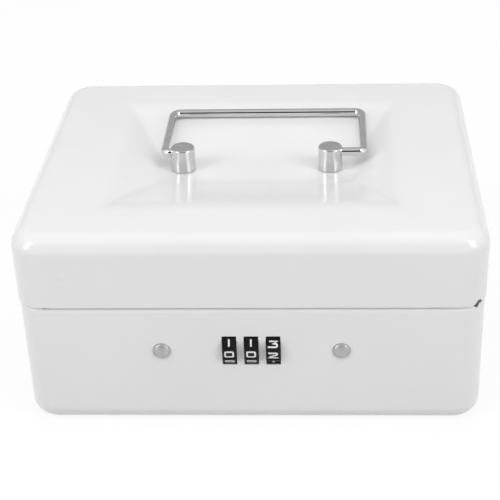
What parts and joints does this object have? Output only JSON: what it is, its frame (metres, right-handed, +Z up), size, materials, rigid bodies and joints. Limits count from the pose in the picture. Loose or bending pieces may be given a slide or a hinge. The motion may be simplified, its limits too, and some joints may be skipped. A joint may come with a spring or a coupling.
{
  "type": "combination lock box",
  "caption": "White steel cash box with a hinged lid, fold-flat wire handle, three number wheels, two push buttons and a lift-out coin tray.",
  "frame": {"origin": "centre of the flat underside of the base", "axes": "+X to the right seen from the front, +Y from the front to the back, +Z up"},
  "size_m": [0.2, 0.1736, 0.0954],
  "materials": {
    "painted_steel": "smooth glossy white powder coat",
    "bright_chrome": "polished chrome plate",
    "zinc_plate": "zinc-plated steel",
    "wheel_plastic": "black moulded plastic with white digits",
    "sleeve_brass": "turned brass",
    "black_plastic": "black moulded plastic, fine grain"
  },
  "bodies": {
    "base": {"base_shell": "painted_steel", "lock_case": "black_plastic", "lock_mount_studs": "zinc_plate", "lock_mount_nuts": "zinc_plate", "wheel_shaft": "zinc_plate", "wheel_detent_spring": "zinc_plate", "tray_ledge_left": "painted_steel", "tray_ledge_right": "painted_steel", "base_hinge_leaf_left": "zinc_plate", "base_hinge_leaf_right": "zinc_plate", "hinge_pin_left": "zinc_plate", "hinge_pin_right": "zinc_plate", "base_hinge_rivets": "zinc_plate"},
    "lid": {"lid_shell": "painted_steel", "lid_hinge_leaf_left": "zinc_plate", "lid_hinge_leaf_right": "zinc_plate", "lid_hinge_rivets": "zinc_plate", "lid_catch_left": "zinc_plate", "lid_catch_right": "zinc_plate", "handle_post_left": "bright_chrome", "handle_post_right": "bright_chrome", "handle_screws": "zinc_plate", "handle_washers": "zinc_plate"},
    "handle": {"handle_bail": "bright_chrome"},
    "wheel_left": {"number_wheel_left": "wheel_plastic"},
    "wheel_middle": {"number_wheel_middle": "wheel_plastic"},
    "wheel_right": {"number_wheel_right": "wheel_plastic"},
    "sleeve_left": {"cam_sleeve_left": "sleeve_brass"},
    "sleeve_middle": {"cam_sleeve_middle": "sleeve_brass"},
    "sleeve_right": {"cam_sleeve_right": "sleeve_brass"},
    "code_lever": {"code_change_lever": "zinc_plate"},
    "release": {"release_plate": "zinc_plate", "push_button_left": "bright_chrome", "push_button_right": "bright_chrome", "button_spring_left": "zinc_plate", "button_spring_right": "zinc_plate"},
    "tray": {"coin_tray": "black_plastic"}
  },
  "joints": [
    {"name": "lid_hinge", "type": "hinge", "parent": "base", "child": "lid", "pos_m": [0, 0.0853, 0.0604], "axis": [-1, 0, 0], "range_deg": [0, 100]},
    {"name": "handle_pivot", "type": "hinge", "parent": "lid", "child": "handle", "pos_m": [0, 0, 0.0924], "axis": [1, 0, 0], "range_deg": [0, 178]},
    {"name": "release_push", "type": "slide", "parent": "base", "child": "release", "axis": [0, 1, 0], "range_m": [0, 0.0022], "stiffness_N_per_m": 600, "springref_m": -0.003},
    {"name": "code_change", "type": "slide", "parent": "base", "child": "code_lever", "axis": [1, 0, 0], "range_m": [0, 0.0018]},
    {"name": "tray_lift", "type": "slide", "parent": "base", "child": "tray", "axis": [0, 0, 1], "range_m": [0, 0.018]},
    {"name": "dial_left", "type": "hinge", "parent": "base", "child": "wheel_left", "pos_m": [-0.0094, -0.07625, 0.0384], "axis": [1, 0, 0], "continuous": true},
    {"name": "code_shift_left", "type": "slide", "parent": "wheel_left", "child": "sleeve_left", "axis": [1, 0, 0], "range_m": [0, 0.0018]},
    {"name": "dial_middle", "type": "hinge", "parent": "base", "child": "wheel_middle", "pos_m": [0, -0.07625, 0.0384], "axis": [1, 0, 0], "continuous": true},
    {"name": "code_shift_middle", "type": "slide", "parent": "wheel_middle", "child": "sleeve_middle", "axis": [1, 0, 0], "range_m": [0, 0.0018]},
    {"name": "dial_right", "type": "hinge", "parent": "base", "child": "wheel_right", "pos_m": [0.0094, -0.07625, 0.0384], "axis": [1, 0, 0], "continuous": true},
    {"name": "code_shift_right", "type": "slide", "parent": "wheel_right", "child": "sleeve_right", "axis": [1, 0, 0], "range_m": [0, 0.0018]}
  ],
  "couplings": [
    {"joint": "code_shift_left", "follows": "code_change", "ratio": 1},
    {"joint": "code_shift_middle", "follows": "code_change", "ratio": 1},
    {"joint": "code_shift_right", "follows": "code_change", "ratio": 1}
  ]
}
